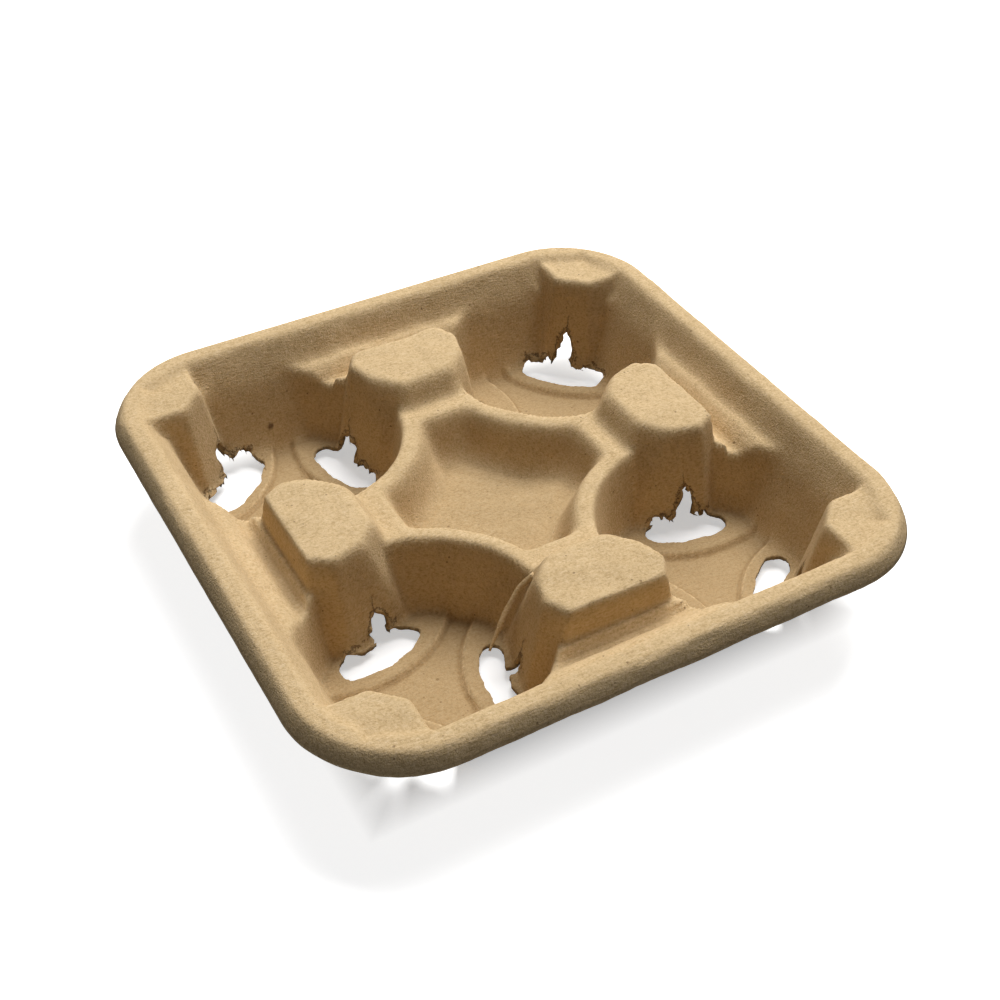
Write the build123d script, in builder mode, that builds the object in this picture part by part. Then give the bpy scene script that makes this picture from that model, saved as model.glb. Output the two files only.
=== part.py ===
from build123d import *
from math import cos, hypot, radians, sin, tan
import os

# A moulded-pulp carrier for four cups: one even skin of pulp, pressed on a mould.
# Millimetres and degrees. +Z up, origin on the table under the middle of the tray.
# The cups stand at (+-cup_axis, +-cup_axis); the four sides face +X, +Y, -X and -Y.

# Overall sizes
cup_pitch = 107.0           # between the axes of neighbouring cups
axis_to_edge = 54.0         # cup axis to the outer edge of the rim
tray_height = 42.4          # table to the crown of the rim
wall = 1.8                  # thickness of the pulp

# Rim
corner_radius = 38.0        # outer corners, at the lower edge of the rim
skirt_height = 6.3          # lower edge of the rim to its crown
skirt_draft = 23.0
rim_width = 16.3            # outer edge to the foot of the rim's inner wall
rim_wall_draft = 31.0
rim_round = 3.0             # rounding of the crown

# Levels, measured down from the crown
pillar_drop = 1.8           # to the pillar tops and the corner ledges
plateau_drop = 10.8         # to the ridges and the upper ledge beside the rim

# Cup wells
well_radius = 39.8          # at the plateau, on the side of the middle pocket
well_draft = 11.0
well_edge = 2.2             # easing of the ridge beside a well
well_foot = 3.0             # rounding between wall and floor
tub_draft = 17.0            # outer walls of the wells, below the rim

# Ribs that grip the cup: three round each well, a third of a turn apart
rib_reach = 34.7            # cup axis to the rib's face at its top
rib_draft = 10.0
rib_angles = (45.0, 165.0, 285.0)

# Pillars, one in the middle of each side, and the ledges over the corner ribs
pillar_gap = 31.1           # outer edge of the rim to the pillar's outer face
pillar_length = 26.4        # outer to inner face, at the top
pillar_datum = 12.4         # outer face in to the point that its faces are set out from
pillar_outer_draft = 5.0
pillar_inner_draft = 21.0
shoulder_cut = 5.35         # how deep the chamfer cuts the corner between outer face and rib
shoulder_angle = 61.0
haunch_cut = 4.43           # how deep the haunch cuts the corner between inner face and rib
haunch_angle = 136.0
ledge_side = 34.0           # outer edge of the rim to the sides of a corner rib
ledge_datum = 23.5          # outer edge of the rim to the point that its faces are set out from
ledge_back = 10.5           # datum out to the rib's back across the corner, inside the rim
ledge_end = 13.5            # datum out to the ends of the ledge, inside the rim's inner walls
top_round = 1.6             # edges of the pillar tops and ledges

# Trough between a pillar and the rim
ledge_width = 3.8           # upper ledge, against the rim's inner wall
trough_floor_drop = 5.3     # below the plateau
trough_floor_width = 2.3
trough_slope_run = 4.4      # floor of the trough out to the upper ledge
step_drop = 2.2             # narrow step at the foot of the pillar, below the plateau
step_face_run = 0.7
step_reach = 8.0            # how far the step runs in under the pillar's foot

# Middle pocket
ridge_width = 7.0           # between a well and the pocket, at the plateau
pocket_reach = 37.5         # middle of the tray to each end of the pocket
pocket_depth = 17.4
pocket_draft = 19.0
pocket_corner = 6.0
pocket_edge = 2.2
pocket_foot = 3.5

# Raised pads at the foot of the ribs, and the cuts through them
pad_centre = 55.5           # cup axis out to the middle of a pad's arc
pad_radius = 43.5
pad_rise = 2.1
pad_slope = 1.2
slot_reach = 38.3           # middle of the pad's arc to the cut's inner edge
slot_width = 13.0
slot_half_angle = 17.5
slot_height = 5.6           # the cut reaches this far up the foot of the wall
slit_top = 20.0             # top of the slit up the middle of the rib
slit_foot_width = 5.0
slit_tip_width = 1.0
slit_depth = 14.0

# Worked out from the sizes above
cup_axis = cup_pitch / 2
edge = cup_axis + axis_to_edge
plateau = tray_height - plateau_drop
ledge_top = tray_height - pillar_drop
corner_centre = edge - corner_radius
over = 1.0                  # how far a cutting body runs past the face it opens


def leaning(distance, level, draft, z, skin):
    """Distance at height z of a face that stands at distance at level and leans by draft.
    A positive draft spreads the form downwards; skin draws the face in, square to itself."""
    return distance + (level - z) * tan(radians(draft)) - skin / cos(radians(draft))


def rounded_square(half):
    """Outline of the rim or the tub: all of them share the same corner centres."""
    RectangleRounded(2 * half, 2 * half, half - corner_centre)


def faceted_body(datum, faces, skin):
    """Block from the table up to the level of the ledges, cut back by leaning flat faces, each
    (angle, distance from the datum at the ledges, draft), with its top edges rounded."""
    with BuildPart() as body:
        with Locations((datum[0], datum[1], -skin)):
            Box(2 * edge, 2 * edge, ledge_top, align=(Align.CENTER, Align.CENTER, Align.MIN))
        for angle, distance, draft in faces:
            out = Vector(1, 0, 0).rotate(Axis.Z, angle)
            foot = out * leaning(distance, ledge_top, draft, ledge_top, skin)
            across = out * cos(radians(draft)) + Vector(0, 0, sin(radians(draft)))
            split(bisect_by=Plane(Vector(datum[0], datum[1], ledge_top) + foot, z_dir=across),
                  keep=Keep.BOTTOM)
        if top_round > skin:
            fillet(body.faces().sort_by(Axis.Z)[-1].edges(), top_round - skin)
    return body.part


def across_corner(first, second, angle, cut):
    """Distance of a face at angle that cuts the corner between two faces, each (angle, distance)."""
    (a, p), (b, q) = first, second
    turn = sin(radians(b - a))
    along_x = (p * sin(radians(b)) - q * sin(radians(a))) / turn
    along_y = (q * cos(radians(a)) - p * cos(radians(b))) / turn
    return along_x * cos(radians(angle)) + along_y * sin(radians(angle)) - cut


def pillar(skin):
    """Pillar of the +X side; its two long faces are ribs of the wells on either side."""
    x = edge - pillar_gap - pillar_datum
    toward_pillar = radians(rib_angles[2])
    rib_distance = (x - cup_axis) * cos(toward_pillar) - cup_axis * sin(toward_pillar) - rib_reach
    outer, inner = (0, pillar_datum), (180, pillar_length - pillar_datum)
    rib = (rib_angles[2] - 180, rib_distance)
    side = [(*rib, rib_draft),
            (shoulder_angle, across_corner(outer, rib, shoulder_angle, shoulder_cut), rib_draft),
            (haunch_angle, across_corner(rib, inner, haunch_angle, haunch_cut), rib_draft)]
    other_side = [(-angle, distance, draft) for angle, distance, draft in side]
    ends = [(*outer, pillar_outer_draft), (*inner, pillar_inner_draft)]
    return faceted_body((x, 0), ends + side + other_side, skin)


def corner_rib(skin):
    """Rib with its ledge in the (+X, +Y) corner, let into the rim behind it."""
    at = edge - ledge_datum
    rib_distance = (at - cup_axis) * 2 ** 0.5 - rib_reach
    side = ledge_side - ledge_datum
    end = ledge_end + skin
    faces = [(0, end, 0), (45, ledge_back + skin, 0), (90, end, 0),
             (180, side, rib_draft), (225, rib_distance, rib_draft), (270, side, rib_draft)]
    return faceted_body((at, at), faces, skin)


def rim_block(skin):
    """Block under the crown, hollowed down to the plateau by the rim's leaning inner wall."""
    lower_edge = tray_height - skirt_height
    with BuildPart() as body:
        with BuildSketch(Plane.XY.offset(-skin)):
            rounded_square(leaning(edge, lower_edge, skirt_draft, lower_edge, skin))
        extrude(amount=lower_edge + skin)
        for z in (lower_edge, tray_height - skin):
            with BuildSketch(Plane.XY.offset(z)):
                rounded_square(leaning(edge, lower_edge, skirt_draft, z, skin))
        loft(ruled=True)
        for z in (plateau - skin, tray_height + over):
            with BuildSketch(Plane.XY.offset(z)):
                rounded_square(leaning(edge - rim_width, plateau, -rim_wall_draft, z, -skin))
        loft(ruled=True, mode=Mode.SUBTRACT)
        fillet(body.faces().sort_by(Axis.Z)[-1].edges(), rim_round - skin)
    return body.part


def wells(skin):
    """The four wells: round funnels cut off by the tub's outer walls, less the raised pads."""
    floor = wall - skin
    level = plateau - skin
    foot = leaning(well_radius, plateau, -well_draft, floor, -skin)
    shoulder = leaning(well_radius, plateau, -well_draft, level - well_edge, -skin)
    lip = shoulder + well_edge
    with BuildPart() as funnel:
        with BuildSketch(Plane.XZ):
            with BuildLine():
                Polyline((0, floor), (foot, floor), (shoulder, level - well_edge))
                ThreePointArc((shoulder, level - well_edge),
                              (shoulder + 0.2 * well_edge, level - 0.4 * well_edge), (lip, level))
                Polyline((lip, level), (lip, level + over), (0, level + over), (0, floor))
            make_face()
        revolve(axis=Axis.Z)
        fillet(funnel.edges().filter_by(GeomType.CIRCLE).sort_by(Axis.Z)[0], well_foot + skin)
    with BuildPart() as body:
        with GridLocations(cup_pitch, cup_pitch, 2, 2):
            add(funnel.part)
        for z in (floor - over, level + over):
            with BuildSketch(Plane.XY.offset(z)):
                rounded_square(leaning(edge - rim_width, plateau, -tub_draft, z, -skin))
        loft(ruled=True, mode=Mode.INTERSECT)
        for quarter in range(4):
            for angle in rib_angles:
                out = Vector(cup_axis, cup_axis, floor - over) + Vector(pad_centre, 0, 0).rotate(Axis.Z, angle)
                with Locations(out.rotate(Axis.Z, 90 * quarter)):
                    Cone(pad_radius + pad_slope - skin, pad_radius - skin, pad_rise + over,
                         align=(Align.CENTER, Align.CENTER, Align.MIN), mode=Mode.SUBTRACT)
    return body.part


def trough(skin):
    """Stepped channel between a pillar and the rim on the +X side, open upwards."""
    ledge = edge - rim_width - ledge_width
    slope_foot = ledge - trough_slope_run
    floor_start = slope_foot - trough_floor_width
    step_edge = floor_start - step_face_run
    low, step = plateau - trough_floor_drop, plateau - step_drop
    slope = trough_slope_run / trough_floor_drop
    with BuildPart() as body:
        with BuildSketch(Plane.XZ):
            Polygon((step_edge - step_reach, plateau + over), (step_edge - step_reach, step),
                    (step_edge, step), (floor_start, low), (slope_foot, low),
                    (ledge + over * slope, plateau + over), align=None)
            offset(amount=skin, kind=Kind.INTERSECTION)
        extrude(amount=cup_axis, both=True)
    return body.part


def pocket(skin):
    """Pocket in the middle of the tray; its four sides follow the wells beside them."""
    floor, level = plateau - pocket_depth - skin, plateau - skin
    with BuildPart() as body:
        for z in (floor, level + over):
            half = leaning(pocket_reach, plateau, -pocket_draft, z, -skin)
            side_radius = leaning(well_radius + ridge_width, plateau, pocket_draft, z, skin)
            with BuildSketch(Plane.XY.offset(z)) as outline:
                Rectangle(2 * half, 2 * half)
                with GridLocations(cup_pitch, cup_pitch, 2, 2):
                    Circle(side_radius, mode=Mode.SUBTRACT)
                fillet(outline.vertices(), pocket_corner)
        loft(ruled=True)
        fillet(body.faces().sort_by(Axis.Z)[0].edges(), pocket_foot + skin)
    return body.part


def on_pocket_lip(point):
    """True for a point of the pocket's lip, as against the lips of the wells and the pillars."""
    from_axis = hypot(abs(point.X) - cup_axis, abs(point.Y) - cup_axis)
    from_middle = max(abs(point.X), abs(point.Y))
    return from_middle < pocket_reach + over and from_axis > well_radius + ridge_width / 2


def tray_form(skin):
    """Solid that fills the tray from below up to its surface, drawn in everywhere by skin."""
    rim, cups, channel = rim_block(skin), wells(skin), trough(skin)
    side, corner, middle = pillar(skin), corner_rib(skin), pocket(skin)
    with BuildPart() as form:
        add(rim)
        add(cups, mode=Mode.SUBTRACT)
        with PolarLocations(0, 4):
            add(channel, mode=Mode.SUBTRACT)
        with PolarLocations(0, 4):
            add(side)
            add(corner)
        add(middle, mode=Mode.SUBTRACT)
        if pocket_edge > skin:
            level = form.edges().filter_by_position(Axis.Z, plateau - skin, plateau - skin)
            fillet([e for e in level if on_pocket_lip(e @ 0.5)], pocket_edge - skin)
    return form.part


def rib_cuts():
    """Cuts of the (+X, +Y) well: a curved slot at the foot of each rib and a slit up its face."""
    slot_axis = slot_reach - slot_width / 2
    with BuildPart() as cuts:
        for angle in rib_angles:
            out = Vector(pad_centre, 0, 0).rotate(Axis.Z, angle)
            with BuildSketch(Plane.XY.offset(-over)):
                with Locations((cup_axis + out.X, cup_axis + out.Y)):
                    SlotArc(Edge.make_circle(slot_axis, start_angle=angle + 180 - slot_half_angle,
                                             end_angle=angle + 180 + slot_half_angle), slot_width)
            extrude(amount=slot_height + over)
            facing = Plane(origin=(cup_axis, cup_axis, 0), x_dir=Vector(0, 1, 0).rotate(Axis.Z, angle),
                           z_dir=Vector(1, 0, 0).rotate(Axis.Z, angle))
            with BuildSketch(facing.offset(rib_reach - tray_height * tan(radians(rib_draft)))):
                Polygon((-slit_foot_width / 2, 0), (slit_foot_width / 2, 0),
                        (slit_tip_width / 2, slit_top), (-slit_tip_width / 2, slit_top), align=None)
            extrude(amount=slit_depth)
    return cuts.part


outside, inside, cuts = tray_form(0), tray_form(wall), rib_cuts()
under_rim = edge - rim_round
with BuildPart() as carrier:
    add(outside)
    add(inside, mode=Mode.SUBTRACT)
    with BuildSketch(Plane.XY.offset(-over)):
        rounded_square(edge + over)
        RectangleRounded(2 * under_rim, 2 * under_rim, under_rim - corner_centre, mode=Mode.SUBTRACT)
    extrude(amount=tray_height - skirt_height + over, mode=Mode.SUBTRACT)
    with PolarLocations(0, 4):
        add(cuts, mode=Mode.SUBTRACT)

carrier.part.label = "carrier"
os.makedirs("parts", exist_ok=True)
export_step(carrier.part, "parts/carrier.step")
print(f"carrier: {carrier.part.volume:.0f} mm3, {len(carrier.part.solids())} solid")
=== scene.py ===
# %% [markdown]
# # A moulded-pulp carrier for four cups
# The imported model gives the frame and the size. The skin of pulp is one surface over a grid: its height
# comes from the leaning walls, cones and ledges of the mould, blended softly, and the torn slots are cut
# out of the grid. A modifier then gives the skin its thickness. Lengths are millimetres until the mesh
# is written in metres.

import bpy
import numpy as np
from mathutils import Matrix, Vector


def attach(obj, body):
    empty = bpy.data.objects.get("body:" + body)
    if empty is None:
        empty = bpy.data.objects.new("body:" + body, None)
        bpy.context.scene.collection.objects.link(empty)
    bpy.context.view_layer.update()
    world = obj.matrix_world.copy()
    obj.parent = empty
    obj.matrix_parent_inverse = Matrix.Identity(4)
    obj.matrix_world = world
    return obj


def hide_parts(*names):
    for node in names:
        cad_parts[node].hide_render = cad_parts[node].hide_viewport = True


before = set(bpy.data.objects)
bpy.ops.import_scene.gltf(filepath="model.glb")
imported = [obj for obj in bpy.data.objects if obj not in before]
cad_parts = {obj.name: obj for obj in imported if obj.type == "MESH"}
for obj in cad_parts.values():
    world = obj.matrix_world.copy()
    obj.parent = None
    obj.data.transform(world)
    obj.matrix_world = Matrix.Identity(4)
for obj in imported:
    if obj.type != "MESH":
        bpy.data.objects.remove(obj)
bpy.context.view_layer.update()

# %% [markdown]
# The sizes of the mould. Levels are heights above the table; a draft is the angle that a wall leans
# away from upright.

# %% Sizes
CUP_AXIS = 53.5
EDGE = 107.5
CORNER_CENTRE = 69.5
CROWN = 42.4
LEDGE = 40.6
PLATEAU = 31.6
FLOOR = 2.0
WALL = 1.8
TROUGH = np.array([(62.0, 60.0), (69.4, 29.4), (79.4, 29.4), (80.4, 26.3), (83.2, 26.2), (87.4, 31.9),
                   (110.0, 90.0)])
RIB_ANGLES = (45.0, 165.0, 285.0)
PAD_CENTRE = 55.5
PAD_RADIUS = 43.5
PAD_RISE = 2.1
SLOT_MIDDLE = 31.8
SLOT_HALF_TURN = 0.29
print("outer edge", 2 * EDGE, "mm square,", CROWN, "mm high")

# %% [markdown]
# Soft blends keep the edges as round as pressed pulp. `soft_max(a, b, k)` is the larger of two heights,
# raised where they differ by less than k. A sum of fixed cosine waves gives smooth, repeatable noise.

# %% Blends and noise
def soft_max(a, b, k):
    """max(a, b) + max(k - |a - b|, 0)^2 / 4k"""
    return np.maximum(a, b) + np.maximum(k - abs(a - b), 0) ** 2 / (4 * k)


def soft_min(a, b, k):
    """min(a, b) - max(k - |a - b|, 0)^2 / 4k"""
    return -soft_max(-a, -b, k)


def leaning(beyond, level, draft):
    """level - beyond / tan(draft): height of a wall at a point that far outside its upper edge"""
    return level - beyond / np.tan(np.radians(draft))


def waves(points, shortest, longest, seed, count=48):
    """Sum of cos(k . p + phase) over random directions, scaled to a spread of about one"""
    rng = np.random.default_rng(seed)
    direction = rng.normal(size=(count, len(points)))
    direction /= np.linalg.norm(direction, axis=1, keepdims=True)
    length = np.exp(rng.uniform(np.log(shortest), np.log(longest), count))
    phase = rng.uniform(0, 2 * np.pi, count)
    flat = np.stack([p.ravel() for p in points])
    turn = (direction * (2 * np.pi / length)[:, None]) @ flat + phase[:, None]
    return (np.cos(turn).sum(0) * np.sqrt(2 / count)).reshape(points[0].shape)


print("waves spread", round(float(waves(np.meshgrid(np.arange(80.0), np.arange(80.0)), 6, 30, 1).std()), 2))

# %% [markdown]
# The tray repeats in every eighth, so a point is folded: `r` is the larger of |x| and |y|, `t` the
# smaller. One pillar, one rib, one well and one trough then serve the whole tray. Walls are added and
# taken away in the order in which the mould has them.

# %% Height of the upper face
def rounded_size(x, y):
    """Half-size of the rounded square through (x, y): c + |max(p - c, 0)| + min(max(p - c), 0)"""
    a, b = abs(x) - CORNER_CENTRE, abs(y) - CORNER_CENTRE
    return CORNER_CENTRE + np.hypot(np.maximum(a, 0), np.maximum(b, 0)) + np.minimum(np.maximum(a, b), 0)


def faces(u, v, spread, listed):
    """Soft minimum of the leaning faces (angle, distance, draft) of a body set out from (0, 0)"""
    top = None
    for angle, distance, draft in listed:
        a = np.radians(angle)
        face = leaning(u * np.cos(a) + v * np.sin(a) - distance, LEDGE, draft)
        top = face if top is None else soft_min(top, face, spread)
    return top


def pad_rise(r, t):
    """Raised pads at the feet of the ribs: PAD_RISE inside each pad's arc, falling to 0 across 1.5 mm"""
    rise = np.zeros_like(r)
    for angle in RIB_ANGLES:
        a = np.radians(angle)
        away = np.hypot(r - CUP_AXIS - PAD_CENTRE * np.cos(a), t - CUP_AXIS - PAD_CENTRE * np.sin(a))
        share = np.clip((PAD_RADIUS + 1.3 - away) / 1.5, 0, 1)
        rise = np.maximum(rise, PAD_RISE * share * share * (3 - 2 * share))
    return rise


def height(x, y):
    """z(x, y) of the upper face, from soft minima and maxima of the mould's walls"""
    size = rounded_size(x, y)
    r, t = np.maximum(abs(x), abs(y)), np.minimum(abs(x), abs(y))
    from_cup = np.hypot(r - CUP_AXIS, t - CUP_AXIS)
    inner_wall = leaning(size - 91.2, PLATEAU, -31)
    z = soft_max(PLATEAU, inner_wall, 3.0)
    well = soft_max(leaning(from_cup - 40.2, PLATEAU, -11), leaning(size - 91.0, PLATEAU, -17), 5.0)
    well = soft_max(well, FLOOR + pad_rise(r, t), 7.0)
    z = soft_min(z, soft_min(well, np.interp(r, TROUGH[:, 0], TROUGH[:, 1]), 2.5), 4.5)
    pillar = faces(r - 64.0, t, 6.0, [(0, 12.4, 5), (61, 21.4, 10), (105, 19.7, 10), (136, 17.2, 17),
                                      (180, 14.0, 21)])
    corner = faces(r - 84.0, t - 84.0, 6.0, [(180, 10.5, 10), (225, 8.4, 10), (270, 10.5, 10)])
    z = soft_max(z, soft_min(pillar, LEDGE, 7.0), 5.0)
    z = soft_max(z, soft_min(corner, LEDGE, 6.0), 4.0)
    ends = soft_max(leaning(r - 37.5, PLATEAU, -19), leaning(46.8 - from_cup, PLATEAU, -19), 9.0)
    z = soft_min(z, soft_max(ends, PLATEAU - 17.4, 9.0), 6.0)
    z = soft_min(z, CROWN, 3.0)
    return soft_min(z, leaning(size - EDGE, CROWN - 6.3, 23), 5.0)


probe = height(np.array([0.0, 53.5, 68.0, 102.0]), np.array([0.0, 53.5, 0.0, 0.0]))
print("pocket, well, pillar and rim stand at", np.round(probe, 1))

# %% [markdown]
# The grid is made of nested rounded squares, so its rings follow the rim. Inside the rim the points
# then drift towards the steep walls until neighbours lie about equally far apart on the surface.

# %% Grid
def rings(size):
    """Square grid of points on nested rounded squares, evenly spread along each one"""
    n = len(size) - 1
    i, j = np.meshgrid(np.arange(-n, n + 1), np.arange(-n, n + 1), indexing="ij")
    ring = np.maximum(abs(i), abs(j))
    half = size[ring]
    radius = np.maximum(half - CORNER_CENTRE, 0)
    arc = np.minimum(abs(i), abs(j)) / np.maximum(ring, 1) * (half - radius + radius * np.pi / 4)
    turn = np.maximum(arc - half + radius, 0) / np.maximum(radius, 1e-9)
    far = half - radius + radius * np.cos(turn)
    near = np.minimum(arc, half - radius) + radius * np.sin(turn)
    wide = abs(i) >= abs(j)
    return np.sign(i) * np.where(wide, far, near), np.sign(j) * np.where(wide, near, far)


def spread_out(a):
    """Mean over each value and its neighbours, twice, with the border repeated"""
    for _ in range(2):
        a = np.pad(a, 1, mode="edge")
        a = (a[:-2] + 2 * a[1:-1] + a[2:]) / 4
        a = (a[:, :-2] + 2 * a[:, 1:-1] + a[:, 2:]) / 4
    return a


def near_slots(x, y):
    """1 + exp(-(d / 4)^2) for the nearest slot's outline, or 1 + 0.8 exp(-(e / 2.5)^2) for a pad's step"""
    r, t = np.maximum(abs(x), abs(y)), np.minimum(abs(x), abs(y))
    density = np.ones_like(x)
    for angle in RIB_ANGLES:
        a = np.radians(angle)
        u, v = CUP_AXIS + PAD_CENTRE * np.cos(a) - r, CUP_AXIS + PAD_CENTRE * np.sin(a) - t
        turned = abs(np.arctan2(v * np.cos(a) - u * np.sin(a), u * np.cos(a) + v * np.sin(a)))
        past_end = np.maximum(turned - SLOT_HALF_TURN - 0.02, 0) * SLOT_MIDDLE
        band = np.hypot(past_end, np.hypot(u, v) - SLOT_MIDDLE) - 5.5
        density = np.maximum(density, 1 + 1.0 * np.exp(-(band / 4) ** 2))
        density = np.maximum(density, 1 + 0.8 * np.exp(-((np.hypot(u, v) - PAD_RADIUS - 0.5) / 2.5) ** 2))
    return density


def relax(x, y, passes, inside):
    """Each point drifts to the mean of its neighbours, weighted by (length on surface / in plan)^0.7"""
    for _ in range(passes):
        p = np.stack([x, y, height(x, y)])
        density = near_slots(x, y)
        step_i, step_j = np.diff(p, axis=1), np.diff(p, axis=2)
        pull_i = (1 + step_i[2] ** 2 / (step_i[0] ** 2 + step_i[1] ** 2)) ** 0.35
        pull_j = (1 + step_j[2] ** 2 / (step_j[0] ** 2 + step_j[1] ** 2)) ** 0.35
        pull_i, pull_j = spread_out(pull_i * density[1:]), spread_out(pull_j * density[:, 1:])
        a, b = pull_i[1:, 1:-1], pull_i[:-1, 1:-1]
        c, d = pull_j[1:-1, 1:], pull_j[1:-1, :-1]
        mean = (a * p[:, 2:, 1:-1] + b * p[:, :-2, 1:-1] + c * p[:, 1:-1, 2:] + d * p[:, 1:-1, :-2])
        drift = 0.5 * (mean / (a + b + c + d) - p[:, 1:-1, 1:-1])
        free = rounded_size(x, y)[1:-1, 1:-1] < inside
        x[1:-1, 1:-1] += np.where(free, drift[0], 0)
        y[1:-1, 1:-1] += np.where(free, drift[1], 0)
    return x, y


ring_size = np.concatenate([np.linspace(0, 88, 86), np.linspace(88.9, 97.2, 9), np.linspace(97.8, 103.8, 8),
                            np.linspace(104.3, EDGE, 6)])
x, y = rings(ring_size)
x, y = relax(x, y, passes=220, inside=90.5)
print("grid of", x.shape[0], "by", x.shape[1], "points")

# %% [markdown]
# Twelve curved slots are torn through the feet of the ribs, each with a slit up the middle of the rib.
# Each has its own tear: how high its flaps hang, how far the slit runs up and how wide it gapes.
# `opening` is positive on pulp and negative in a gap, in millimetres.

# %% Torn slots
# keyed by quarter turn and rib: height of the flap left and right of the slit, top of the slit, its
# width, its shift and its lean to the right, radius of the slot's inner edge, the slot's shift, and
# radius of its outer edge under the rib
TEARS = {
    (0, 0): (7.4, 6.0, 20.0, 6.2, -1.4, 1.6, 39.8, 0.0, 27.6),
    (0, 1): (5.4, 5.4, 12.0, 3.0, 0.0, 0.0, 33.0, 0.0, 27.6),
    (0, 2): (6.4, 6.0, 17.0, 5.2, 0.6, 0.4, 39.0, 0.0, 27.6),
    (1, 0): (5.6, 7.0, 17.0, 9.6, 7.2, -1.0, 40.6, 0.0, 27.6),
    (1, 1): (6.0, 6.4, 16.0, 5.0, -0.6, 0.5, 39.0, 0.0, 27.6),
    (1, 2): (7.0, 6.0, 14.0, 10.0, -4.2, 0.8, 38.7, 0.0, 27.6),
    (2, 0): (6.4, 6.0, 17.0, 5.4, 0.4, -0.6, 39.5, 0.0, 27.6),
    (2, 1): (6.6, 5.4, 12.0, 3.4, -1.0, 0.6, 38.6, 0.0, 30.0),
    (2, 2): (5.0, 6.6, 14.5, 7.4, 4.4, -1.0, 39.4, -1.0, 28.6),
    (3, 0): (7.2, 5.8, 18.0, 5.6, 0.6, 0.8, 40.0, 0.0, 30.5),
    (3, 1): (7.2, 6.2, 17.5, 7.0, 1.6, -1.4, 38.2, 0.6, 27.4),
    (3, 2): (6.0, 6.4, 16.0, 5.0, -0.5, 0.4, 39.0, 0.0, 27.6),
}


def opening(x, y, z, rise=0.2):
    """Distance to the nearest gap, and across and up from its slit. A gap is an arc band under the
    flaps, max(band, rise (z - flap)), joined to a round-topped slit up the middle of the rib."""
    ragged = waves((x, y, z), 5.0, 14.0, 5)
    fine = waves((x, y, z), 1.8, 4.0, 6)
    above = np.clip((z - 4.4) / 2, 0, 1)
    clear, aside, up = np.full_like(x, 50.0), np.full_like(x, 50.0), np.full_like(x, 50.0)
    for (quarter, rib), (left, right, top, gape, shift, lean, reach, turn, under) in TEARS.items():
        turned = np.radians(90 * quarter + 45)
        a = np.radians(90 * quarter + RIB_ANGLES[rib])
        cup = CUP_AXIS * np.sqrt(2) * np.array([np.cos(turned), np.sin(turned)])
        out = np.array([np.cos(a), np.sin(a)])
        u, v = cup[0] + PAD_CENTRE * out[0] - x, cup[1] + PAD_CENTRE * out[1] - y
        inward, across = u * out[0] + v * out[1], v * out[0] - u * out[1]
        away, angle = np.hypot(u, v), np.arctan2(across - turn, inward)
        middle = (reach + under) / 2
        beyond = np.maximum(abs(angle) - SLOT_HALF_TURN, 0) * SLOT_MIDDLE
        band = np.hypot(beyond, away - middle) - (reach - middle) + 0.22 * ragged + 0.08 * fine
        across = across - shift - lean * (z / top - 0.5)
        flap = (left + right) / 2 + (right - left) / 2 * np.tanh(across / 3)
        slot = np.maximum(band, (z - flap + above * (0.5 * ragged + 0.15 * fine)) * rise)
        width = gape / 2 * np.clip(1 - (z / top) ** 4, 0, 1) ** 0.5 * (1 - 0.15 * z / top)
        across = across + 0.35 * ragged + 0.12 * fine
        slit = np.maximum(abs(across) - width, np.maximum((z - top) * rise, away - middle))
        slit = np.maximum(slit, 17.0 - inward)
        nearest = (abs(across) < 12) & (inward < 40) & (inward > 14)
        aside, up = np.where(nearest, across, aside), np.where(nearest, z - top, up)
        clear = np.minimum(clear, np.minimum(slot, slit))
    return clear, aside, up


def snap(x, y, reach):
    """Points nearer than reach to the edge of a gap slide onto it: p - g grad g / |grad g|^2"""
    for _ in range(3):
        g = opening(x, y, height(x, y))[0]
        gx = (opening(x + 0.02, y, height(x + 0.02, y))[0] - g) / 0.02
        gy = (opening(x, y + 0.02, height(x, y + 0.02))[0] - g) / 0.02
        steep = gx ** 2 + gy ** 2 + 0.05
        near = abs(g) < reach
        x = np.where(near, x - g * gx / steep, x)
        y = np.where(near, y - g * gy / steep, y)
    return x, y


x, y = snap(x, y, 0.2)
z = height(x, y)
clear, aside, up = opening(x, y, z)
print("points in gaps:", int((clear < -0.1).sum()))

# %% [markdown]
# Quads of the grid that a gap's edge crosses are split in two triangles and cut along it: a cut point
# lies on an edge where the opening is zero. What lies in the gap is left out.

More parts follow.
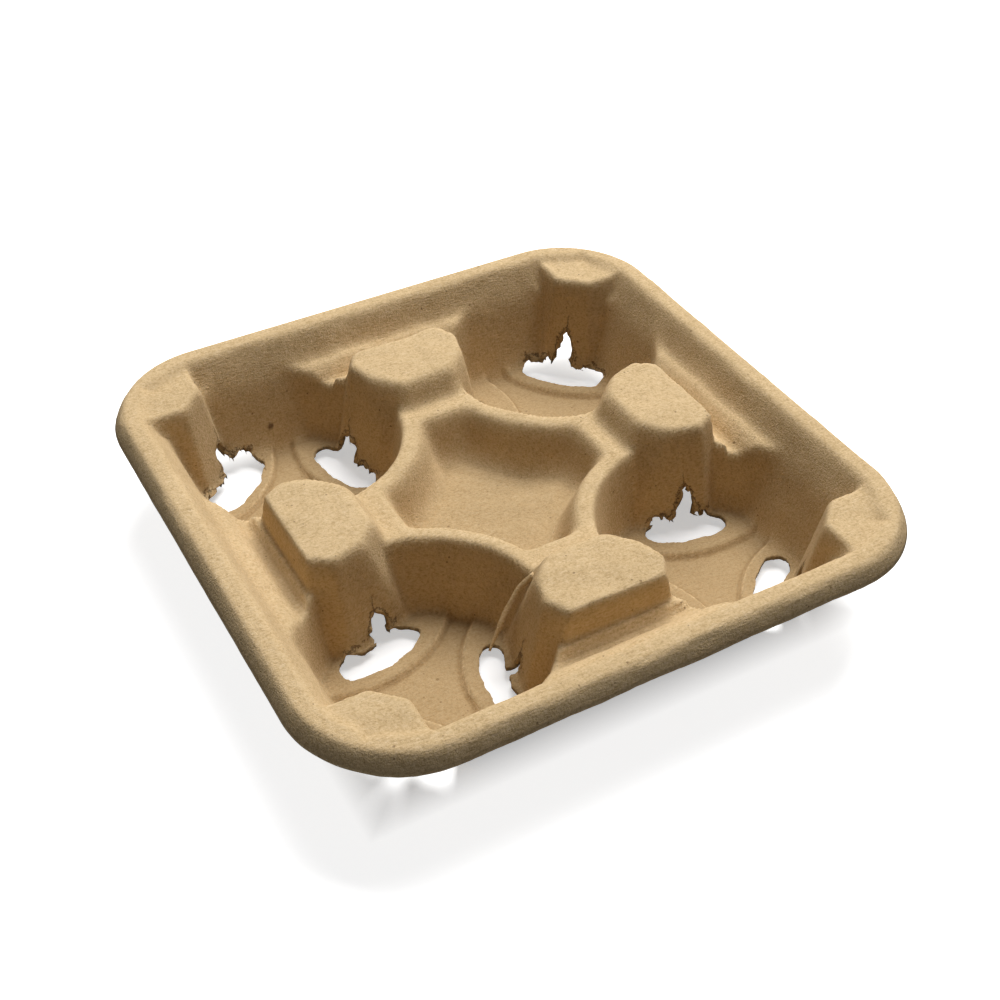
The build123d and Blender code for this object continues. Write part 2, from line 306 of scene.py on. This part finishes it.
# %% Cutting
def cut(x, y, clear):
    """Polygons (quads and triangles) on pulp, and the pairs of points and shares of the cut points"""
    number = np.arange(x.size).reshape(x.shape)
    quads = np.stack([number[:-1, :-1], number[1:, :-1], number[1:, 1:], number[:-1, 1:]], -1)
    quads = quads.reshape(-1, 4)
    on_pulp = clear.ravel() > -1e-3
    inside = on_pulp[quads].sum(1)
    mixed = quads[(inside > 0) & (inside < 4)]
    triangles = np.concatenate([mixed[:, [0, 1, 2]], mixed[:, [0, 2, 3]]])
    corners = on_pulp[triangles].sum(1)
    one, two = triangles[corners == 1], triangles[corners == 2]
    first = np.argmax(on_pulp[one], 1)[:, None]
    one = np.take_along_axis(one, (first + np.arange(3)) % 3, 1)
    first = np.argmin(on_pulp[two], 1)[:, None]
    two = np.take_along_axis(two, (first + np.arange(3)) % 3, 1)
    pairs = np.concatenate([one[:, [0, 1]], one[:, [0, 2]], two[:, [1, 0]], two[:, [2, 0]]])
    pairs, which = np.unique(pairs, axis=0, return_inverse=True)
    which = which.ravel() + x.size
    n, m = len(one), len(two)
    cut_one = np.stack([one[:, 0], which[:n], which[n:2 * n]], 1)
    cut_two = np.stack([which[2 * n:2 * n + m], two[:, 1], two[:, 2], which[2 * n + m:]], 1)
    flat = clear.ravel()
    share = np.clip(flat[pairs[:, 0]], 0, None) / (flat[pairs[:, 0]] - flat[pairs[:, 1]])
    return [quads[inside == 4], cut_two], [triangles[corners == 3], cut_one], pairs, share


def hollow(x, y, z):
    """How hollow the surface is: (mean of four neighbours - point) . normal / spacing, smoothed"""
    p = np.pad(np.stack([x, y, z]), ((0, 0), (1, 1), (1, 1)), mode="edge")
    along_i, along_j = p[:, 2:, 1:-1] - p[:, :-2, 1:-1], p[:, 1:-1, 2:] - p[:, 1:-1, :-2]
    normal = np.cross(along_i, along_j, axis=0)
    area = np.maximum(np.linalg.norm(normal, axis=0), 1e-6)
    mean = (p[:, 2:, 1:-1] + p[:, :-2, 1:-1] + p[:, 1:-1, 2:] + p[:, 1:-1, :-2]) / 4
    return spread_out(((mean - p[:, 1:-1, 1:-1]) * normal).sum(0) / area / area * 4)


fours, threes, pairs, share = cut(x, y, clear)
grid = [a.ravel() for a in (x, y, hollow(x, y, z))]
x, y, hollow_shade_ridge_light = [np.concatenate([a, a[pairs[:, 0]] * (1 - share) + a[pairs[:, 1]] * share]) for a in grid]
z = height(x, y)
clear, aside, up = opening(x, y, z)
print(sum(map(len, fours)), "quads and", sum(map(len, threes)), "triangles of pulp")

# %% [markdown]
# The skin as a mesh. Slow waves make it uneven like hand-fed pulp, the flaps curl a little where they
# are torn, and one shred of a torn rib hangs over its slot. Attributes carry the distance from a gap
# and the place beside a slit in millimetres, how stained the pulp is, and how hollow and how low it is,
# which drive painted shade in hollows and on low floors and a painted highlight on ridges.

# %% Mesh of the skin
def polygon_mesh(name, points, fours, threes):
    """Mesh of the points in metres, with those quads and triangles and without unused points"""
    loops = np.concatenate([a.ravel() for a in fours + threes])
    used, loops = np.unique(loops, return_inverse=True)
    sizes = np.concatenate([np.full(len(a), a.shape[1]) for a in fours + threes])
    mesh = bpy.data.meshes.new(name)
    mesh.vertices.add(len(used))
    mesh.vertices.foreach_set("co", (points[used] / 1000).astype(np.float32).ravel())
    mesh.loops.add(len(loops))
    mesh.loops.foreach_set("vertex_index", loops.astype(np.int32).ravel())
    mesh.polygons.add(len(sizes))
    mesh.polygons.foreach_set("loop_start", (np.cumsum(sizes) - sizes).astype(np.int32))
    mesh.polygons.foreach_set("use_smooth", np.ones(len(sizes), dtype=bool))
    mesh.update(calc_edges=True)
    return mesh, used


def wall_curl(x, y, z, clear):
    """Shift in plan of torn flaps: 0.5 wave exp(-clear / 0.5) along the slope of the wall"""
    slope = np.stack([height(x + 0.1, y) - z, height(x, y + 0.1) - z]) / 0.1
    slope = slope / np.maximum(np.hypot(slope[0], slope[1]), 1.5)
    return slope * 0.55 * waves((x, y, z), 4, 10, 21) * np.exp(-np.maximum(clear, 0) / 0.5) * (z > 4.6)


def pad_foot_shade(x, y, z):
    """Painted shade line: exp(-(d / 0.7)^2) for the distance d from the foot of a pad's step, on the well's
    floor
    """
    r, t = np.maximum(abs(x), abs(y)), np.minimum(abs(x), abs(y))
    line = np.zeros_like(x)
    for angle in RIB_ANGLES:
        a = np.radians(angle)
        away = np.hypot(r - CUP_AXIS - PAD_CENTRE * np.cos(a), t - CUP_AXIS - PAD_CENTRE * np.sin(a))
        line = np.maximum(line, np.exp(-((away - PAD_RADIUS - 1.1) / 0.7) ** 2))
    return line * (z < 4.2)


def strip(path, half_width):
    """Ribbon of 3 by n points along a bent line, p(s) - w(s), p(s) and p(s) + w(s), and its quads"""
    knots = np.array(path)
    s = np.linspace(0, len(knots) - 1, 5 * len(knots))
    line = np.stack([np.interp(s, np.arange(len(knots)), knots[:, axis]) for axis in range(3)], 1)
    line = np.concatenate([line[:1], (line[:-2] + line[1:-1] + line[2:]) / 3, line[-1:]])
    behind = (0.35, 0.61, -0.71)
    across = np.cross(np.gradient(line, axis=0), behind)
    across /= np.linalg.norm(across, axis=1, keepdims=True)
    taper = half_width * np.minimum(1, 0.45 + 0.35 * (s[-1] - s)) * (1 + 0.12 * np.sin(3.1 * s))
    rows = [line - across * taper[:, None], line, line + across * taper[:, None]]
    n = len(line)
    first = (np.arange(2)[None, :] * n + np.arange(n - 1)[:, None]).ravel()
    return np.concatenate(rows), np.stack([first, first + 1, first + n + 1, first + n], 1)


curl = wall_curl(x, y, z, clear)
sink = 0.16 * waves((x, y, z), 9, 34, 11) + 0.05 * waves((x, y, z), 3, 8, 12)
points = np.stack([x + curl[0], y + curl[1], z + sink * np.clip((z - 2) / 3, 0.25, 1) * (z < CROWN - 1)], 1)
on_pad = 6 * np.clip(5.4 - z, 0, 1)
rise_x, rise_y = (height(x + 0.3, y) - z) / 0.3, (height(x, y + 0.3) - z) / 0.3
flat = np.clip((1 / np.sqrt(1 + rise_x ** 2 + rise_y ** 2) - 0.6) / 0.35, 0, 1)
# painted shade on low floors: flat places get darker the lower they lie
low_floor_shade = flat * np.clip((29 - z) / 20, 0, 1)
# painted shade along the foot of each pad's step, added to the hollowness
hollow_shade_ridge_light = hollow_shade_ridge_light + 0.45 * pad_foot_shade(x, y, z)
mark = np.zeros_like(x)
for spot, radius in (((-48.6, 85.2, 12.6), 1.3), ((-46.7, -13.4, 31.1), 0.6), ((61.0, 30.5, 14.0), 0.5)):
    apart = (x - spot[0]) ** 2 + (y - spot[1]) ** 2 + (z - spot[2]) ** 2
    mark = np.maximum(mark, np.exp(-apart / radius ** 2))
torn = np.clip(opening(x, y, z, 1.0)[0], -1, 8) + on_pad
shred, shred_fours = strip([(-14.0, -49.6, 32.0), (-18.8, -48.4, 27.1), (-22.9, -49.5, 22.2),
                            (-27.9, -51.5, 15.7), (-31.9, -53.2, 10.1)], 0.95)
points, fours = np.concatenate([points, shred]), fours + [shred_fours + len(points)]
mesh, used = polygon_mesh("pulp_tray", points, fours, threes)
for name, values, plain in (("torn", torn, 8), ("aside", aside, 50), ("up", up, 50), ("hollow_shade_ridge_light", hollow_shade_ridge_light, 0.05),
                            ("low_floor_shade", low_floor_shade, 0), ("mark", mark, 0)):
    values = np.concatenate([values, np.full(len(shred), float(plain))])
    mesh.attributes.new(name, "FLOAT", "POINT").data.foreach_set("value", values[used].astype(np.float32))

skin = bpy.data.objects.new("pulp_tray", mesh)
bpy.context.scene.collection.objects.link(skin)
solidify = skin.modifiers.new("wall", "SOLIDIFY")
solidify.thickness = WALL / 1000
solidify.offset = -1
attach(skin, "root")
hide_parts("carrier")
print("skin has", len(skin.data.polygons), "faces before its thickness")

# %% [markdown]
# A material is written as arithmetic. A `Wire` is a socket on its way through the nodes: plus, minus,
# times and divide add Math nodes, and `Graph.node` adds any other node.

# %% Node arithmetic
class Graph:
    """The node tree of one material"""

    def __init__(self, name):
        self.material = bpy.data.materials.new(name)
        self.material.use_nodes = True
        self.tree = self.material.node_tree
        self.tree.nodes.clear()

    def node(self, kind, inputs, output=0, **settings):
        """Adds a node, sets it up, joins its inputs {name or number: Wire or value}, gives an output"""
        made = self.tree.nodes.new(kind)
        for key, value in settings.items():
            setattr(made, key, value)
        for key, value in inputs.items():
            if isinstance(value, Wire):
                self.tree.links.new(value.socket, made.inputs[key])
            else:
                made.inputs[key].default_value = value
        return Wire(self, made.outputs[output]) if len(made.outputs) else made

    def mix(self, share, a, b):
        """Colour between a and b"""
        return self.node("ShaderNodeMix", {0: share, 6: a, 7: b}, 2, data_type="RGBA")


class Wire:
    """A value on its way between nodes"""

    def __init__(self, graph, socket):
        self.graph, self.socket = graph, socket

    def math(self, operation, *values):
        """Math node with this value first, or with the values given"""
        return self.graph.node("ShaderNodeMath", dict(enumerate(values)), operation=operation)

    def __add__(self, other):
        return self.math("ADD", self, other)

    def __radd__(self, other):
        return self.math("ADD", other, self)

    def __sub__(self, other):
        return self.math("SUBTRACT", self, other)

    def __rsub__(self, other):
        return self.math("SUBTRACT", other, self)

    def __mul__(self, other):
        return self.math("MULTIPLY", self, other)

    def __rmul__(self, other):
        return self.math("MULTIPLY", other, self)

    def __truediv__(self, other):
        return self.math("DIVIDE", self, other)

    def __rtruediv__(self, other):
        return self.math("DIVIDE", other, self)

    def clamp(self):
        """This value held between zero and one"""
        return self.graph.node("ShaderNodeClamp", {0: self})


print("node arithmetic ready")

# %% [markdown]
# Unbleached pulp: matte tan, mottled, with pale and dark fibres and a few dark specks. Torn edges are
# browner. Painted shade darkens low floors, creases, the feet of the pads' steps, the crevices behind torn
# lips and the cracks above the slits; ridges get a painted highlight. The relief is felted: fine noise
# and short fibres.

# %% Pulp
pulp = Graph("pulp")
place = pulp.node("ShaderNodeTexCoord", {}, "Object")


def noise(scale, detail, roughness=0.5, at=place):
    """Noise at that many cells to the metre"""
    return pulp.node("ShaderNodeTexNoise", {"Vector": at, "Scale": scale, "Detail": detail,
                                            "Roughness": roughness}, "Fac")


def fibre(turn, scale):
    """Noise drawn out four times along one direction"""
    along = pulp.node("ShaderNodeMapping", {"Vector": place, "Rotation": turn, "Scale": (1.0, 4.0, 4.0)})
    return noise(scale, 2, 0.5, along)


def attribute(name):
    """A value carried by the mesh"""
    return pulp.node("ShaderNodeAttribute", {}, "Fac", attribute_name=name)


cloud = noise(60, 3)
blotch = noise(260, 3, 0.6)
grain = noise(1150, 3, 0.7)
felt = noise(2400, 2, 0.6)
fibres = fibre((0.5, 0.4, 0.7), 420) + fibre((0.3, -0.6, 2.3), 420) + fibre((-0.7, 0.2, 1.5), 520)
specks = pulp.node("ShaderNodeTexVoronoi", {"Vector": place, "Scale": 420.0}, "Distance")
speck_size = noise(210, 1)
torn, beside, above, hollow_shade_ridge_light = [attribute(name) for name in ("torn", "aside", "up", "hollow_shade_ridge_light")]
low_floor_shade, mark = attribute("low_floor_shade"), attribute("mark")

tan = pulp.mix((cloud * 2.0 + blotch * 1.6 - 1.3).clamp(), (0.54, 0.385, 0.20, 1), (0.63, 0.457, 0.248, 1))
tan = pulp.mix(((grain - 0.5) * 3.4 + 0.3).clamp() * 0.45, tan, (0.78, 0.60, 0.385, 1))
tan = pulp.mix(((0.5 - grain) * 4.2 - 0.1).clamp() * 0.5, tan, (0.29, 0.18, 0.08, 1))
tan = pulp.mix(((fibres - 1.62) * 5.0).clamp() * 0.4, tan, (0.36, 0.23, 0.10, 1))
tan = pulp.mix(((1.36 - fibres) * 5.0).clamp() * 0.35, tan, (0.80, 0.63, 0.41, 1))
dark = ((0.10 - specks + (speck_size - 0.6) * 0.8) * 20.0).clamp()
tan = pulp.mix(dark * 0.6, tan, (0.13, 0.07, 0.03, 1))
# painted shade: flat low floors of the wells are darker
tan = pulp.mix(low_floor_shade * (0.36 + cloud * 0.3), tan, (0.27, 0.175, 0.08, 1))
# painted shade in hollows and creases, and below a painted highlight on ridges
tan = pulp.mix((hollow_shade_ridge_light * 3.0 + (blotch - 0.5) * 0.8).clamp() * 0.42, tan, (0.25, 0.145, 0.055, 1))
tan = pulp.mix((hollow_shade_ridge_light * -2.0).clamp() * 0.25, tan, (0.70, 0.525, 0.32, 1))
ragged = grain - 0.5 + (blotch - 0.5) * 1.4
tan = pulp.mix((mark * 2.0 - 0.5 + ragged).clamp() * 0.8, tan, (0.10, 0.05, 0.02, 1))
# painted shade: a dark band in the crevice behind each torn lip and a dark line in the crack above each
# slit
behind = (0.9 - torn.math("ABSOLUTE", torn - 0.9 + ragged * 3.0) * 1.8).clamp()
lip = (1.0 - torn * 1.3 + ragged * 2.0).clamp()
crack_shade = (0.9 - beside.math("ABSOLUTE", beside + ragged * 1.4) * 2.2).clamp()
crack_shade = crack_shade * (above * 0.5 + 1.5).clamp() * (1.5 - above * 0.2 + ragged * 2).clamp()
tan = pulp.mix(lip * 0.75, tan, (0.40, 0.26, 0.12, 1))
tan = pulp.mix(behind.math("MAXIMUM", behind, crack_shade) * 0.8, tan, (0.095, 0.048, 0.018, 1))
relief = cloud * 0.4 + blotch * 0.5 + grain * 0.7 + felt * 0.4 + fibres * 0.35 - behind * 1.2 - crack_shade * 1.5
bump = pulp.node("ShaderNodeBump", {"Strength": 0.7, "Distance": 0.0004, "Height": relief}, "Normal")
surface = pulp.node("ShaderNodeBsdfPrincipled", {"Base Color": tan, "Roughness": 0.94, "Normal": bump,
                                                 "Specular IOR Level": 0.08}, "BSDF")
pulp.node("ShaderNodeOutputMaterial", {"Surface": surface})
skin.data.materials.append(pulp.material)
print("pulp has", len(pulp.tree.nodes), "nodes")

# %% [markdown]
# A plain white floor that keeps the tray's soft shadow. What the camera sees of it is lifted to white
# by its own glow, which lights nothing else and is weaker beneath the tray as a painted shadow. From below
# it is clear.

# %% Floor
floor_mesh = bpy.data.meshes.new("floor")
floor_mesh.from_pydata([(-3, -3, 0), (3, -3, 0), (3, 3, 0), (-3, 3, 0)], [], [(0, 1, 2, 3)])
floor = bpy.data.objects.new("floor", floor_mesh)
floor.location.z = -0.0004
bpy.context.scene.collection.objects.link(floor)
white = Graph("floor")
ray = white.node("ShaderNodeLightPath", {}, "Is Camera Ray")
shade = white.mix(ray, (0.3, 0.3, 0.3, 1), (0.8, 0.8, 0.8, 1))
matte = white.node("ShaderNodeBsdfDiffuse", {"Color": shade})
spot = white.node("ShaderNodeTexCoord", {}, "Object")
along = [white.node("ShaderNodeSeparateXYZ", {0: spot}, axis) for axis in ("X", "Y")]
along = [part.math("ABSOLUTE", part) for part in along]
away = along[0].math("MAXIMUM", *along)
# painted shadow: the camera's glow is weaker over the tray's footprint
painted_tray_shadow = ((0.094 - away) / 0.012).clamp()
far = ((away - 0.4) / 0.8).clamp()
lift = ray * (0.86 - painted_tray_shadow * 0.38 + far * 0.14)
glow = white.node("ShaderNodeEmission", {"Color": (1, 1, 1, 1), "Strength": lift})
both = white.node("ShaderNodeAddShader", {0: matte, 1: glow})
below = white.node("ShaderNodeNewGeometry", {}, "Backfacing")
clear_below = white.node("ShaderNodeBsdfTransparent", {})
seen_above = white.node("ShaderNodeMixShader", {0: below, 1: both, 2: clear_below})
white.node("ShaderNodeOutputMaterial", {"Surface": seen_above})
floor_mesh.materials.append(white.material)
print("floor laid")

# %% [markdown]
# Soft studio light from above and behind to the right, a weak fill from the camera's side, and a world
# that is white to look at and dim as a light. The camera looks down at the tray from its front left.

# %% Light and camera
def lamp(name, place, aim, size, power):
    """Square area lamp at place, turned to aim"""
    data = bpy.data.lights.new(name, "AREA")
    data.size = size
    data.energy = power
    made = bpy.data.objects.new(name, data)
    made.location = place
    made.rotation_euler = (Vector(aim) - Vector(place)).to_track_quat("-Z", "Y").to_euler()
    bpy.context.scene.collection.objects.link(made)


lamp("overhead", (0.76, 0.70, 1.80), (0, 0, 0), 1.35, 63.0)
lamp("fill", (-0.9, -0.9, 0.9), (0, 0, 0.02), 0.9, 0.25)

scene = bpy.context.scene
scene.view_settings.view_transform = "Standard"
world = bpy.data.worlds.new("studio")
world.use_nodes = True
scene.world = world
nodes, links = world.node_tree.nodes, world.node_tree.links
sky, seen = nodes["Background"], nodes.new("ShaderNodeLightPath")
sky.inputs["Color"].default_value = (1, 1, 1, 1)
plainly_seen = seen.outputs["Is Camera Ray"]
for kind in ("Is Glossy Ray", "Is Transmission Ray"):
    either = nodes.new("ShaderNodeMath")
    either.operation = "MAXIMUM"
    links.new(plainly_seen, either.inputs[0])
    links.new(seen.outputs[kind], either.inputs[1])
    plainly_seen = either.outputs["Value"]
strength = nodes.new("ShaderNodeMapRange")
strength.inputs["To Min"].default_value = 0.03
strength.inputs["To Max"].default_value = 1.0
links.new(plainly_seen, strength.inputs["Value"])
links.new(strength.outputs["Result"], sky.inputs["Strength"])

TURN, RAISE, ROLL, DISTANCE = np.radians(-29.46), np.radians(40.89), np.radians(0.12), 0.50569
target = Vector((0.00217, 0.00049, 0.0184))
back = Vector((np.sin(TURN) * np.cos(RAISE), -np.cos(TURN) * np.cos(RAISE), np.sin(RAISE)))
camera_data = bpy.data.cameras.new("camera")
camera_data.sensor_width = 36
camera_data.lens = 52.63
camera_data.clip_start = 0.01
camera = bpy.data.objects.new("camera", camera_data)
turned = back.to_track_quat("Z", "Y").to_matrix() @ Matrix.Rotation(ROLL, 3, "Z")
camera.matrix_world = Matrix.Translation(target + back * DISTANCE) @ turned.to_4x4()
scene.collection.objects.link(camera)
scene.camera = camera
print("camera at", [round(c, 4) for c in camera.location])
